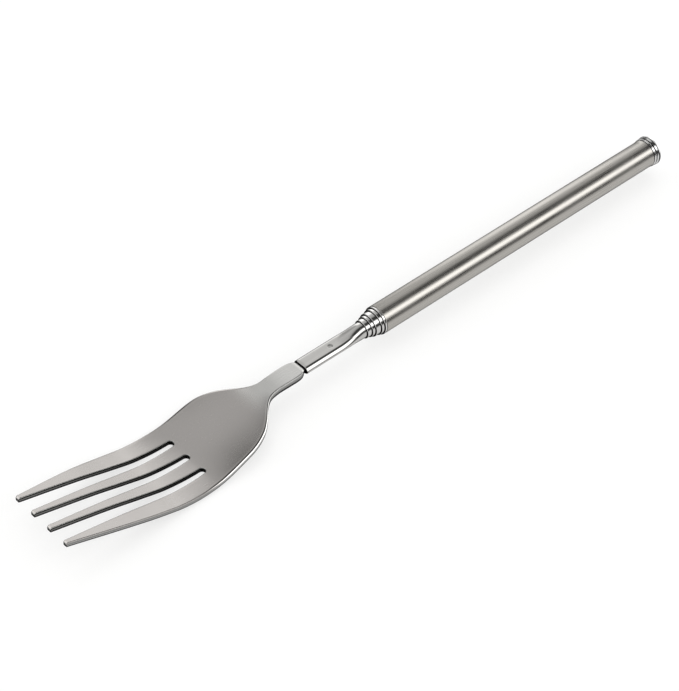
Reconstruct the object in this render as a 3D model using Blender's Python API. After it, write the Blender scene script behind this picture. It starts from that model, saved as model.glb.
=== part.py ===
"""Telescopic roasting fork: a stamped four-tine head on five sliding tubes that nest inside a handle tube.

The fork lies along X with the tines towards -X and the hollow of the head facing up (+Z).
All tubes share one axis, parallel to X, at height AXIS_HEIGHT above the table.
Stations along the fork are measured from the mouth of the handle tube, positive towards the end cap.
"""

import math

import bmesh
import bpy
from mathutils import Vector

MM = 0.001

# Telescopic stack
SIDES = 64                      # facets round every tube, in phase so that the gaps stay even
SECTIONS = 5                    # sliding sections, counted from the handle; the last one is the neck tube
HANDLE_RADIUS = 4.0 * MM
RADIUS_STEP = 0.35 * MM         # each section is this much smaller in radius than the one round it
MERGE_DISTANCE = 0.0001 * MM
ROUNDING_STEPS = 4
WALL = 0.2 * MM
LIP_GAP = 0.05 * MM             # between a rolled mouth and the section that slides through it
LIP_LENGTH = 0.5 * MM
LIP_SLOPE = 0.2 * MM
MOUTH_STEPS = (0.95, 1.6, 0.95, 1.4)   # millimetres by which sections 1 to 4 stand out of the mouth behind
TRAVEL = 80.0 * MM
STOP_GAP = 0.2 * MM             # left between shim and lip when a section is fully out

# Friction shims round each tail
SHIM_LENGTH = 12.0 * MM
SHIM_INNER_GAP = 0.02 * MM
SHIM_OUTER_GAP = 0.04 * MM
SHIM_SPLIT_FACETS = 1           # facets left open at each side of a half shell

# Handle tube and end cap
HANDLE_LENGTH = 103.9 * MM
FLARE_LENGTH = 2.2 * MM
FLARE_RISE = 0.22 * MM
PLUG_LENGTH = 9.3 * MM
TAIL_GAP = 0.2 * MM             # between the plug and the tails of the closed sections
PLUG_GAP = 0.04 * MM
PLUG_CHAMFER = 0.5 * MM
FLANGE_GAP = 0.04 * MM
FLANGE_THICKNESS = 1.56 * MM
FLANGE_RADIUS = 4.36 * MM
FLANGE_ROUNDING = 0.42 * MM

# Neck tube: round behind, pressed flat in front to grip the tang of the head
NECK_MOUTH_REACH = 25.5 * MM    # from the handle mouth to the neck tube's mouth
FLAT_HEIGHT = 2.3 * MM
FLAT_WIDTH = 5.3 * MM
FLAT_LENGTH = 14.4 * MM         # fully flat stretch behind the mouth
ROUND_START = 20.1 * MM         # where the tube is round again
TRANSITION_RINGS = 8
STAKE_REACH = 9.9 * MM          # from the neck tube's mouth back to the staking dimple
STAKE_RADIUS = 0.75 * MM
STAKE_DEPTH = 0.12 * MM
STAKE_FACETS = 32

# Fork head, measured from the neck tube's mouth towards the tips
HEAD_LENGTH = 80.9 * MM
TANG_LENGTH = 12.5 * MM
TANG_HALF_WIDTH = 1.7 * MM
TANG_THICKNESS = 1.76 * MM
SLOT_END = 36.9 * MM
SLOT_END_RADIUS = 1.0 * MM
SLOT_TIP_HALF_WIDTH = 2.45 * MM
SLOT_PITCH = 6.15 * MM
SLOT_TIP_PITCH = 6.27 * MM
TIP_ROUNDING = 0.3 * MM
EDGE_ROUNDING = 0.22 * MM
EDGE_SEGMENTS = 2
SHARP_ANGLE = math.radians(50.0)
STRIP_COLUMNS = 3
TINES = 4

# Shape curves of the head in millimetres: (distance from the neck tube's mouth, value)
HALF_WIDTH = (
    (0.3, 1.8), (1.0, 2.3), (2.2, 2.62), (3.8, 2.75), (11.0, 2.75),
    (13.0, 3.25), (15.0, 4.75), (17.5, 7.45), (20.5, 9.9), (24.5, 11.65),
    (29.0, 12.25), (41.0, 12.55), (54.5, 12.35), (64.5, 11.8), (80.9, 9.95),
)
TOP_HEIGHT = (
    (0.3, 1.0), (9.0, 0.9), (13.0, 0.18), (17.5, -1.5), (24.5, -3.3), (32.5, -5.5),
    (38.5, -6.2), (47.5, -5.39), (54.5, -3.61), (64.5, -0.73), (80.9, 3.39),
)
DISH_DEPTH = ((11.0, 0.0), (18.0, 0.6), (28.5, 1.2), (36.9, 0.55), (45.0, 0.05), (80.9, 0.05))
THICKNESS = ((0.3, 2.0), (12.0, 1.9), (22.0, 1.6), (40.0, 1.5), (80.9, 1.5))
BLADE_ROWS = (0.3, 1.0, 2.2, 3.8, 8.0, 11.0, 12.5, 14.0, 15.5, 17.0, 18.5, 20.5, 23.0, 26.0, 29.0, 32.0, 34.5)
TINE_ROWS = (40.0, 43.0, 47.0, 51.0, 56.0, 62.0, 68.0, 74.0, 78.0)
SLOT_ARC_STEPS = 4
TIP_ARC_STEPS = 2

PLUG_FACE_STATION = HANDLE_LENGTH - PLUG_LENGTH
TAIL_STATION = PLUG_FACE_STATION - TAIL_GAP
CAP_STATION = HANDLE_LENGTH + FLANGE_GAP + FLANGE_THICKNESS
HEAD_REACH = NECK_MOUTH_REACH + HEAD_LENGTH
HANDLE_MOUTH_X = (HEAD_REACH - CAP_STATION) / 2

STEEL_SATIN = ("satin_steel", (0.60, 0.585, 0.565), 0.38)
STEEL_BRIGHT = ("bright_steel", (0.78, 0.78, 0.78), 0.12)
BRASS = ("brass", (0.72, 0.56, 0.27), 0.35)


def clear_scene():
    for old in list(bpy.data.objects):
        bpy.data.objects.remove(old, do_unlink=True)


def make_material(name, finish):
    label, colour, roughness = finish
    material = bpy.data.materials.new(f"{name}_{label}")
    material.use_nodes = True
    shader = material.node_tree.nodes["Principled BSDF"]
    shader.inputs["Base Color"].default_value = (*colour, 1.0)
    shader.inputs["Metallic"].default_value = 1.0
    shader.inputs["Roughness"].default_value = roughness
    return material


def make_object(name, bm, station, finish):
    """Turn a bmesh modelled round its own X axis into an object placed on the fork's axis."""
    bmesh.ops.recalc_face_normals(bm, faces=bm.faces)
    mesh = bpy.data.meshes.new(name)
    bm.to_mesh(mesh)
    bm.free()
    obj = bpy.data.objects.new(name, mesh)
    obj.location = (HANDLE_MOUTH_X + station, 0.0, AXIS_HEIGHT)
    bpy.context.scene.collection.objects.link(obj)
    if finish:
        mesh.materials.append(make_material(name, finish))
    return obj


def smooth_faces(obj):
    for face in obj.data.polygons:
        face.use_smooth = True


def section_radius(index):
    return HANDLE_RADIUS - index * RADIUS_STEP


def mouth_station(index):
    """Station of the mouth of section index, where 0 is the handle tube."""
    return -sum(MOUTH_STEPS[:index]) * MM


def spin_profile(profile, start_facet=0, facets=SIDES):
    """Spin a closed (x, radius) outline round the X axis, all the way or over some facets."""
    bm = bmesh.new()
    start = math.tau * start_facet / SIDES
    direction = Vector((0.0, math.sin(start), math.cos(start)))
    verts = [bm.verts.new((x, radius * direction.y, radius * direction.z)) for x, radius in profile]
    edges = [bm.edges.new(pair) for pair in zip(verts, verts[1:] + verts[:1])]
    full_turn = facets == SIDES
    geometry = verts + edges
    if not full_turn:
        geometry = geometry + [bm.faces.new(verts)]
    bmesh.ops.spin(
        bm, geom=geometry, cent=(0.0, 0.0, 0.0), axis=(-1.0, 0.0, 0.0),
        angle=math.tau * facets / SIDES, steps=facets, use_merge=full_turn,
    )
    bmesh.ops.remove_doubles(bm, verts=bm.verts, dist=MERGE_DISTANCE)
    return bm


def arc(centre_x, centre_radius, radius, start_degrees, end_degrees, steps=ROUNDING_STEPS):
    points = []
    for step in range(steps + 1):
        angle = math.radians(start_degrees + (end_degrees - start_degrees) * step / steps)
        points.append((centre_x + radius * math.cos(angle), centre_radius + radius * math.sin(angle)))
    return points


def mouth_profile(outer):
    """Outline of a rolled mouth at x = 0: from the outer wall round the nose to the inner wall."""
    lip = outer - RADIUS_STEP + LIP_GAP
    nose = outer - lip
    points = arc(nose, lip, nose, 90.0, 180.0)
    points.append((LIP_LENGTH, lip))
    points.append((LIP_LENGTH + LIP_SLOPE, outer - WALL))
    return points


def build_section_tube(index):
    name = f"section_{index}_tube"
    outer = section_radius(index)
    length = TAIL_STATION - mouth_station(index)
    profile = mouth_profile(outer)
    profile += [(length, outer - WALL), (length, outer)]
    tube = make_object(name, spin_profile(profile), mouth_station(index), STEEL_BRIGHT)
    smooth_faces(tube)


def build_handle_tube():
    outer = HANDLE_RADIUS
    flare_start = HANDLE_LENGTH - FLARE_LENGTH
    flare_middle = HANDLE_LENGTH - FLARE_LENGTH / 2
    middle_rise = FLARE_RISE / 4
    profile = mouth_profile(outer)
    profile += [
        (flare_start, outer - WALL),
        (flare_middle, outer - WALL + middle_rise),
        (HANDLE_LENGTH, outer - WALL + FLARE_RISE),
        (HANDLE_LENGTH, outer + FLARE_RISE),
        (flare_middle, outer + middle_rise),
        (flare_start, outer),
    ]
    tube = make_object("handle_tube", spin_profile(profile), 0.0, STEEL_SATIN)
    smooth_faces(tube)


def build_end_cap():
    plug = HANDLE_RADIUS - WALL - PLUG_GAP
    flange_back = HANDLE_LENGTH + FLANGE_GAP
    rounding = FLANGE_ROUNDING
    small = rounding / 2
    profile = [
        (PLUG_FACE_STATION, 0.0),
        (PLUG_FACE_STATION, plug - PLUG_CHAMFER),
        (PLUG_FACE_STATION + PLUG_CHAMFER, plug),
        (flange_back, plug),
        (flange_back, FLANGE_RADIUS - small),
    ]
    profile += arc(flange_back + small, FLANGE_RADIUS - small, small, 180.0, 90.0)[1:]
    profile += arc(CAP_STATION - rounding, FLANGE_RADIUS - rounding, rounding, 90.0, 0.0)
    profile.append((CAP_STATION, 0.0))
    cap = make_object("end_cap", spin_profile(profile), 0.0, STEEL_BRIGHT)
    smooth_faces(cap)


def build_shims(index):
    """Two half shells round the tail of section index, clear of the wall of the tube round it."""
    prefix = "neck" if index == SECTIONS else f"section_{index}"
    inner = section_radius(index) + SHIM_INNER_GAP
    outer = section_radius(index - 1) - WALL - SHIM_OUTER_GAP
    front = mouth_station(index - 1) + LIP_LENGTH + LIP_SLOPE + STOP_GAP + TRAVEL
    profile = [(0.0, inner), (SHIM_LENGTH, inner), (SHIM_LENGTH, outer), (0.0, outer)]
    facets = SIDES // 2 - 2 * SHIM_SPLIT_FACETS
    quarter = SIDES // 4
    for half, centre_facet in (("upper", 0), ("lower", SIDES // 2)):
        start = centre_facet - quarter + SHIM_SPLIT_FACETS
        shell = spin_profile(profile, start, facets)
        smooth_faces(make_object(f"{prefix}_shim_{half}", shell, front, BRASS))


def flattened_ring(radius, flatness):
    """Section of a tube wall: round when flatness is 0, pressed flat when it is 1."""
    inset = section_radius(SECTIONS) - radius
    end_radius = FLAT_HEIGHT / 2
    half_flat = (FLAT_WIDTH - FLAT_HEIGHT) / 2
    perimeter = 4 * half_flat + math.tau * end_radius
    quarter = SIDES // 4
    ring = []
    for side in range(SIDES):
        angle = math.tau * side / SIDES
        round_point = Vector((0.0, radius * math.sin(angle), radius * math.cos(angle)))
        way = perimeter * ((side + quarter) % (2 * quarter)) / SIDES - math.pi * end_radius / 2
        y, z = stadium_point(way, half_flat, end_radius, inset)
        sign = 1.0 if side < quarter or side >= 3 * quarter else -1.0
        flat_point = Vector((0.0, sign * y, sign * z))
        ring.append(round_point.lerp(flat_point, flatness))
    return ring


def stadium_point(way, half_flat, end_radius, inset):
    """Point on the upper half of a stadium, way along its outer edge from the start of the flat."""
    inner_radius = end_radius - inset
    if way < 0.0:
        angle = way / end_radius
        return -half_flat + inner_radius * math.sin(angle), inner_radius * math.cos(angle)
    if way > 2 * half_flat:
        angle = (way - 2 * half_flat) / end_radius
        return half_flat + inner_radius * math.sin(angle), inner_radius * math.cos(angle)
    return way - half_flat, inner_radius


def skin_rings(rings):
    """Join rings of points into a closed band of quads, the last ring back to the first."""
    bm = bmesh.new()
    loops = [[bm.verts.new(point) for point in ring] for ring in rings]
    for ring, following in zip(loops, loops[1:] + loops[:1]):
        for side in range(SIDES):
            nearby = (side + 1) % SIDES
            bm.faces.new((ring[side], ring[nearby], following[nearby], following[side]))
    return bm


def build_neck_tube():
    outer = section_radius(SECTIONS)
    length = NECK_MOUTH_REACH + TAIL_STATION
    stations = [(0.0, 1.0), (FLAT_LENGTH, 1.0)]
    for step in range(1, TRANSITION_RINGS):
        part = step / TRANSITION_RINGS
        flatness = 1.0 - math.sin(math.pi / 2 * part)
        stations.append((FLAT_LENGTH + (ROUND_START - FLAT_LENGTH) * part, flatness))
    stations += [(ROUND_START, 0.0), (length, 0.0)]
    rings = []
    for radius, order in ((outer, stations), (outer - WALL, stations[::-1])):
        for x, flatness in order:
            ring = flattened_ring(radius, flatness)
            rings.append([point + Vector((x, 0.0, 0.0)) for point in ring])
    tube = make_object("neck_tube", skin_rings(rings), -NECK_MOUTH_REACH, STEEL_SATIN)
    smooth_faces(tube)
    punch_stake(tube)


def punch_stake(tube):
    """Press the shallow round staking mark into the upper flat."""
    sphere = (STAKE_RADIUS ** 2 + STAKE_DEPTH ** 2) / (2 * STAKE_DEPTH)
    bm = bmesh.new()
    bmesh.ops.create_uvsphere(bm, u_segments=STAKE_FACETS, v_segments=STAKE_FACETS, radius=sphere)
    cutter = make_object("stake_cutter", bm, STAKE_REACH - NECK_MOUTH_REACH, None)
    cutter.location.z += FLAT_HEIGHT / 2 + sphere - STAKE_DEPTH
    cutter.hide_render = True
    cutter.display_type = "WIRE"
    cut = tube.modifiers.new("stake", "BOOLEAN")
    cut.operation = "DIFFERENCE"
    cut.solver = "EXACT"
    cut.object = cutter


def curve_value(points, distance):
    """Smooth curve through (distance, value) points in millimetres; distance in metres."""
    at = distance / MM
    if at <= points[0][0]:
        return points[0][1] * MM
    if at >= points[-1][0]:
        return points[-1][1] * MM
    last = len(points) - 1
    index = max(i for i in range(last) if points[i][0] <= at)
    (x0, y0), (x1, y1) = points[index], points[index + 1]
    span = x1 - x0
    part = (at - x0) / span
    slopes = []
    for i in (index, index + 1):
        before = points[max(i - 1, 0)]
        after = points[min(i + 1, last)]
        slopes.append((after[1] - before[1]) / (after[0] - before[0]) * span)
    value = (2 * part ** 3 - 3 * part ** 2 + 1) * y0 + (part ** 3 - 2 * part ** 2 + part) * slopes[0]
    value += (3 * part ** 2 - 2 * part ** 3) * y1 + (part ** 3 - part ** 2) * slopes[1]
    return value * MM


def slot_centre(slot, distance):
    """Middle of a slot, or the line between two tines' strips where the blade is whole."""
    if distance <= SLOT_END:
        narrowing = curve_value(HALF_WIDTH, distance) / curve_value(HALF_WIDTH, SLOT_END)
        return (slot - 1) * SLOT_PITCH * narrowing
    part = (distance - SLOT_END) / (HEAD_LENGTH - SLOT_END)
    return (slot - 1) * (SLOT_PITCH + (SLOT_TIP_PITCH - SLOT_PITCH) * part)


def slot_half_width(distance):
    centre = SLOT_END + SLOT_END_RADIUS
    if distance <= SLOT_END:
        return 0.0
    if distance < centre:
        return math.sqrt(max(SLOT_END_RADIUS ** 2 - (centre - distance) ** 2, 0.0))
    part = (distance - centre) / (HEAD_LENGTH - centre)
    return SLOT_END_RADIUS + (SLOT_TIP_HALF_WIDTH - SLOT_END_RADIUS) * part


def strip_edges(tine, distance):
    """Both edges of one tine's strip of the blade, rounded in plan at the tip."""
    half_width = curve_value(HALF_WIDTH, distance)
    gap = slot_half_width(distance)
    low = -half_width if tine == 0 else slot_centre(tine - 1, distance) + gap
    high = half_width if tine == TINES - 1 else slot_centre(tine, distance) - gap
    into_tip = distance - (HEAD_LENGTH - TIP_ROUNDING)
    if into_tip > 0.0:
        inset = TIP_ROUNDING - math.sqrt(max(TIP_ROUNDING ** 2 - into_tip ** 2, 0.0))
        low += inset
        high -= inset
    return low, high


def head_distances():
    """Distances of the blade's cross rows: neck, bowl, the arcs at the slot ends, tines and tips."""
    distances = [value * MM for value in BLADE_ROWS] + [SLOT_END]
    for step in range(1, SLOT_ARC_STEPS + 1):
        angle = math.pi / 2 * step / SLOT_ARC_STEPS
        distances.append(SLOT_END + SLOT_END_RADIUS * (1.0 - math.cos(angle)))
    distances += [value * MM for value in TINE_ROWS]
    for step in range(TIP_ARC_STEPS + 1):
        angle = math.pi / 2 * step / TIP_ARC_STEPS
        distances.append(HEAD_LENGTH - TIP_ROUNDING * (1.0 - math.sin(angle)))
    return distances


def blade_point(distance, side):
    half_width = curve_value(HALF_WIDTH, distance)
    rise = curve_value(DISH_DEPTH, distance) * (side / half_width) ** 2
    return Vector((-distance, side, curve_value(TOP_HEIGHT, distance) + rise))


def add_blade(bm):
    """Upper face of the neck, bowl and tines: four strips that share their edges behind the slots."""
    rows = []
    for distance in head_distances():
        row = []
        for tine in range(TINES):
            low, high = strip_edges(tine, distance)
            strip = []
            for column in range(STRIP_COLUMNS + 1):
                side = low + (high - low) * column / STRIP_COLUMNS
                shares_edge = column == 0 and tine > 0 and distance <= SLOT_END
                strip.append(row[-1][-1] if shares_edge else bm.verts.new(blade_point(distance, side)))
            row.append(strip)
        rows.append(row)
    for back, front in zip(rows, rows[1:]):
        for back_strip, front_strip in zip(back, front):
            add_quads(bm, back_strip, front_strip)
    return rows[0]


def add_quads(bm, back, front):
    for column in range(len(back) - 1):
        bm.faces.new((back[column], back[column + 1], front[column + 1], front[column]))


def add_tang(bm, neck_row):
    """Extend the blade's back edge into the narrower tang that the neck tube grips."""
    neck = [vert for tine, strip in enumerate(neck_row) for vert in strip[min(tine, 1):]]
    narrowing = TANG_HALF_WIDTH / neck[-1].co.y
    previous = neck
    for distance in (0.0, -TANG_LENGTH):
        row = [bm.verts.new((-distance, vert.co.y * narrowing, TANG_THICKNESS / 2)) for vert in neck]
        add_quads(bm, row, previous)
        previous = row


def head_thickness(distance):
    if distance < BLADE_ROWS[0] * MM:
        return TANG_THICKNESS
    return curve_value(THICKNESS, distance)


def build_fork_head():
    bm = bmesh.new()
    add_tang(bm, add_blade(bm))
    result = bmesh.ops.extrude_face_region(bm, geom=list(bm.faces))
    for item in result["geom"]:
        if isinstance(item, bmesh.types.BMVert):
            item.co.z -= head_thickness(-item.co.x)
    head = make_object("fork_head", bm, -NECK_MOUTH_REACH, STEEL_SATIN)
    smooth_faces(head)
    rounding = head.modifiers.new("edge_rounding", "BEVEL")
    rounding.width = EDGE_ROUNDING
    rounding.segments = EDGE_SEGMENTS
    rounding.limit_method = "ANGLE"
    rounding.angle_limit = SHARP_ANGLE
    rounding.use_clamp_overlap = False


def lowest_blade_point():
    """Depth of the bowl's underside below the tubes' axis."""
    depths = [
        curve_value(TOP_HEIGHT, distance) - curve_value(THICKNESS, distance)
        for distance in head_distances()
    ]
    return min(depths)


AXIS_HEIGHT = -lowest_blade_point()


def main():
    clear_scene()
    build_handle_tube()
    build_end_cap()
    for index in range(1, SECTIONS):
        build_section_tube(index)
    build_neck_tube()
    for index in range(1, SECTIONS + 1):
        build_shims(index)
    build_fork_head()


main()
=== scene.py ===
"""Looks of the telescopic roasting fork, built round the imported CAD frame.

Lengths in this script are in millimetres unless a name says otherwise; meshes are written in metres.
The fork lies along X with its tines towards -X, and the hollow of the head faces up (+Z).
"""

import math

import bmesh
import bpy
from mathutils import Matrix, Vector


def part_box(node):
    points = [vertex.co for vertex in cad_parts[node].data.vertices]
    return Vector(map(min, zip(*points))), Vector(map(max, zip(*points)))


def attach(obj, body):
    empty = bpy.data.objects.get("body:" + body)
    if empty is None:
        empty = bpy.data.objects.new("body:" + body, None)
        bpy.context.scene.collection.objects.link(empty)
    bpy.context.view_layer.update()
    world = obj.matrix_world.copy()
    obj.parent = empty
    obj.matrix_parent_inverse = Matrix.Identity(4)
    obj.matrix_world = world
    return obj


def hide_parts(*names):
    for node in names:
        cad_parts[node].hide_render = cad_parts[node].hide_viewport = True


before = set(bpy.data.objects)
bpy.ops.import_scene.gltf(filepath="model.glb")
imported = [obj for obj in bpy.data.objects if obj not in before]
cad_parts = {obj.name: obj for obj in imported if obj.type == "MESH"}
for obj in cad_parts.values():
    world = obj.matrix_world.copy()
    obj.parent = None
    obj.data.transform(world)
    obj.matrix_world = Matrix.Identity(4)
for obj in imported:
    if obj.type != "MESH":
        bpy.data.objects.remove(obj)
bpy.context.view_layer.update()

MM = 0.001

# ---------------------------------------------------------------- where the CAD frame puts things
MOUTH_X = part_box("handle_tube")[0].x / MM
HANDLE_END_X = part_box("handle_tube")[1].x / MM
AXIS_Z = (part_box("end_cap")[0].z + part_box("end_cap")[1].z) / 2 / MM
INSIDE = 0.002                  # the looks keep this far inside the CAD's ends
CAP_END_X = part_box("end_cap")[1].x / MM - INSIDE
PLUG_FACE_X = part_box("end_cap")[0].x / MM
NECK_MOUTH_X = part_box("neck_tube")[0].x / MM
TAIL_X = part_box("neck_tube")[1].x / MM
HEAD_LENGTH = NECK_MOUTH_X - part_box("fork_head")[0].x / MM - INSIDE
TANG_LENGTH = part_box("fork_head")[1].x / MM - NECK_MOUTH_X

# ---------------------------------------------------------------- tubes
SIDES = 128
SECTIONS = 5
HANDLE_RADIUS = 4.0
RADIUS_STEP = 0.35
WALL = 0.2
LIP_GAP = 0.05
LIP_LENGTH = 0.5
LIP_SLOPE = 0.2
LIP_STEPS = 7
NOSE_SHADE_ANGLE = 128.0        # from here inwards shade is painted dark on the rolled nose
NOSE_SHADE_BLEND = 8.0          # degrees over which the painted shade sets in
NOSE_SHADE_STEPS = 3
GROOVE_START = 0.58             # turned groove behind the handle's rolled mouth
GROOVE_LENGTH = 0.24
GROOVE_DEPTH = 0.1
GROOVE_EDGE = 0.03              # how far its broken edges and its floor's corners reach
GROOVE_EDGE_DROP = 0.01
EDGE_BREAK = 0.05
FLARE_LENGTH = 2.2
FLARE_RISE = 0.22
FLARE_STEPS = 8
FLARE_SKIPPED = 4               # outer points of the flare that the rolled end takes the place of
PLUG_GAP = 0.04
PLUG_CHAMFER = 0.5
PLUG_SHORT = 0.1                # the plug's full width ends this far before the flange
FLANGE_GAP = 0.04
FLANGE_RADIUS = 4.36
FLANGE_ROUNDING = 0.17
FLANGE_STEPS = 8
# The handle's rolled end, measured inwards from its end face: (x, radius, painted shade)
END_BEAD = (
    (0.0, 4.02, 1.0), (-0.003, 4.10, 1.0), (-0.02, 4.15, 0.0), (-0.05, 4.19, 0.0), (-0.10, 4.214, 0.0),
    (-0.16, 4.219, 0.0), (-0.21, 4.212, 0.0), (-0.56, 4.04, 0.0), (-0.58, 4.03, 1.0), (-0.61, 3.98, 1.0),
    (-0.89, 3.98, 1.0), (-0.90, 4.05, 1.0), (-0.91, 4.07, 0.0),
)
# Two turned beads of the cap, measured outwards from the back of its flange: (x, radius, painted shade)
CAP_BEADS = (
    (-0.02, 3.6, 1.0), (0.0, 3.99, 1.0), (0.33, 4.0, 1.0), (0.40, 4.09, 1.0), (0.42, 4.10, 0.0),
    (0.78, 4.28, 0.0), (0.83, 4.30, 0.0), (0.88, 4.29, 0.0), (0.89, 4.26, 1.0), (0.91, 4.11, 1.0),
    (1.16, 4.11, 1.0), (1.23, 4.22, 1.0), (1.25, 4.235, 0.0), (1.35, 4.29, 0.0),
)
# The cap's end face with its shallow ring, from the rounded edge to the middle: (depth, radius)
CAP_FACE = ((0.0, 3.99), (0.1, 3.74), (0.1, 3.59), (0.02, 2.6), (0.0, 1.2), (0.0, 0.0))

# ---------------------------------------------------------------- neck tube
FLAT_HEIGHT = 2.3
FLAT_WIDTH = 5.3
# Bends from the pressed part's flat down to its side: (angle turned to, radius, steps)
FLAT_BENDS = ((18.0, 0.3, 2), (33.0, 1.9, 4), (40.0, 0.6, 1), (50.0, 4.0, 4), (90.0, 0.62, 6))
FLAT_POINTS = 15
PRESS_START = 11.9              # where the pressed part begins to open out, from the mouth
PRESS_EASE = 1.8
ROUND_START = 20.1
TRANSITION_RINGS = 28
STAKE_REACH = 9.9
STAKE_RADIUS = 0.72
STAKE_DEPTH = 0.14
# painted shade in the staking mark's dent
STAKE_SHADE = 0.35
STAKE_MARGIN = 1.3              # the close rings reach this many radii from the mark's middle
STAKE_RING_SPACING = 0.1
MOUTH_BREAK = 0.14
MOUTH_RINGS = ((0.0, 1.0), (0.9, 0.1), (1.3, 0.0))      # (distance, inset) in mouth breaks
FLAT_RINGS = (1.0, 3.0, 5.0, 7.0, 8.5)

# ---------------------------------------------------------------- fork head
SLOT_END = 36.9
SLOT_END_RADIUS = 1.0
SLOT_TIP_HALF_WIDTH = 2.45
SLOT_PITCH = 6.15
SLOT_TIP_PITCH = 6.27
TIP_ROUNDING = 0.2
SLOT_ROUNDING = 0.18
UNDER_ROUNDING = 0.26
# Bends of the upper edge: (angle turned to, radius, steps). Where the edge has a facet, the facet's radii
# are added to those of the rim.
RIM_BENDS = ((22.0, 0.15, 2), (38.0, 1.4, 4), (44.0, 0.15, 1), (54.0, 0.12, 3), (90.0, 0.36, 4))
FACET_BENDS = ((22.0, 0.0, 2), (38.0, 0.4, 4), (44.0, 0.0, 1), (54.0, 1.8, 3), (90.0, 0.0, 4))
FACET_LEVEL = 7                 # the levels from here down to the wall are worn bright
UNDER_STEPS = 4
WALL_STEPS = 5
TINES = 4
STRIP_COLUMNS = 8
ROW_SPACING = 0.75
SLOPE_REACH = 0.05              # the outline's slope is taken this far to either side
SLOPE_LIMIT = 2.0
SLOT_ARC_STEPS = 8
TIP_ARC_STEPS = 4
TANG_HALF_WIDTH = 1.7
TANG_THICKNESS = 1.5
TANG_ROWS = (1.0, 3.0, 6.0, 9.0)
TANG_STEP = 0.02                # length of the step from the tang up to the neck
EDGE_WEAR = 0.5                 # wear of a rounded edge; a facet's is up to 1
HEAD_SHARP_DEGREES = 50.0
TUBE_SHARP_DEGREES = 38.0
NECK_START = 0.45
NECK_END_BEVEL = 0.4
NECK_END_DROP = 0.16

# Shape curves of the head: (distance from the neck tube's mouth, value)
HALF_WIDTH = (
    (0.45, 1.6), (1.0, 2.15), (2.0, 2.62), (3.4, 2.82), (5.5, 2.83), (11.0, 2.75),
    (13.0, 3.25), (15.0, 4.75), (17.5, 7.45), (20.5, 9.9), (24.5, 11.65),
    (29.0, 12.25), (41.0, 12.545), (54.5, 12.35), (64.5, 11.8), (80.9, 9.95),
)
TOP_HEIGHT = (
    (0.3, 1.0), (9.0, 0.9), (13.0, 0.18), (17.5, -1.5), (24.5, -3.3), (32.5, -5.5),
    (38.5, -6.2), (47.5, -5.39), (54.5, -3.61), (64.5, -0.73), (80.9, 3.39),
)
DISH_DEPTH = ((11.0, 0.0), (18.0, 0.6), (28.5, 1.2), (36.9, 0.55), (45.0, 0.05), (80.9, 0.05))
RIM_ROUNDING = (
    (0.3, 0.2), (2.0, 0.24), (9.0, 0.26), (12.5, 0.36), (16.0, 0.42),
    (22.0, 0.45), (36.0, 0.42), (46.0, 0.26), (80.9, 0.2),
)
FACET = (
    (0.3, 0.0), (10.0, 0.0), (14.0, 0.35), (19.0, 1.0),
    (33.0, 1.0), (38.0, 0.6), (42.0, 0.0), (80.9, 0.0),
)
THICKNESS = ((0.3, 2.0), (12.0, 1.9), (22.0, 1.6), (40.0, 1.49), (80.9, 1.49))
TIP_BEVEL_LENGTH = 0.5
TIP_BEVEL_DROP = 0.5
TIP_BEVEL_STEPS = 2

# ---------------------------------------------------------------- camera
CAMERA_AZIMUTH = math.radians(-42.154)
CAMERA_ELEVATION = math.radians(43.61)
CAMERA_DISTANCE = 545.7
CAMERA_LENS = 111.34
CAMERA_SENSOR = 36.0
CAMERA_CLIP_M = (0.02, 20.0)
CAMERA_TARGET = (-12.14, -0.222, 7.262)

# ---------------------------------------------------------------- studio
# Brightness of the light tent against the angle round the fork's length, in degrees from the front horizon
# over the top: what the front of the tent shows everywhere, then what its back and underside show in four
# stretches from beside the fork to far beyond its handle.
TENT_PEAK = 3.0
TENT_FRONT = (
    (-18, 0.26), (-8, 0.21), (-1, 0.04), (4, 0.014), (14, 0.014), (21, 0.09), (30, 0.58), (37, 0.74),
    (47, 0.74), (53, 0.50), (60, 0.12), (66, 0.018), (87, 0.018), (94, 0.085),
)
TENT_BACK = (
    (
        (-180, 0.015), (-112, 0.015), (-96, 0.10), (-70, 0.20),
        (101, 0.18), (112, 0.215), (126, 0.215), (133, 0.165),
        (140, 0.085), (147, 0.04), (158, 0.02), (180, 0.015),
    ),
    (
        (-180, 0.12), (-165, 0.02), (-112, 0.01), (-98, 0.08), (-84, 0.16), (-70, 0.24),
        (101, 0.17), (112, 0.20), (126, 0.22), (133, 0.18),
        (140, 0.13), (150, 0.17), (170, 0.18), (180, 0.12),
    ),
    (
        (-180, 0.29), (-170, 0.17), (-160, 0.07), (-150, 0.02),
        (-112, 0.015), (-100, 0.06), (-86, 0.14), (-70, 0.25),
        (101, 0.155), (112, 0.175), (121, 0.205), (129, 0.26),
        (139, 0.43), (150, 0.55), (170, 0.48), (180, 0.34),
    ),
    (
        (-180, 0.015), (-112, 0.015), (-96, 0.10), (-70, 0.24),
        (101, 0.165), (112, 0.19), (121, 0.225), (127, 0.29), (133, 0.41),
        (143, 0.42), (152, 0.28), (166, 0.05), (180, 0.015),
    ),
)
TENT_BLENDS = ((0.12, 0.24), (0.35, 0.43), (0.54, 0.66))        # where one stretch passes into the next
END_PANEL_BLEND = (0.82, 0.92)
END_PANEL = 0.7
TIP_PANEL_BLEND = (-0.26, -0.40)
TIP_PANEL = 0.38
UNDER_TIP_BLENDS = ((-0.04, -0.16), (0.02, -0.12))    # along the fork, then downwards
UNDER_TIP = 0.01
FAR_BLEND = (-0.58, -0.68)      # beyond the tines the tent is the mirror image of its middle
STAGE_SIDES = 96
FLOOR_RADIUS = 900.0
FLOOR_COLOUR = (0.34, 0.34, 0.338, 1.0)
FLOOR_ROUGHNESS = 0.9
FLOOR_SPECULAR = 0.2
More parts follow.
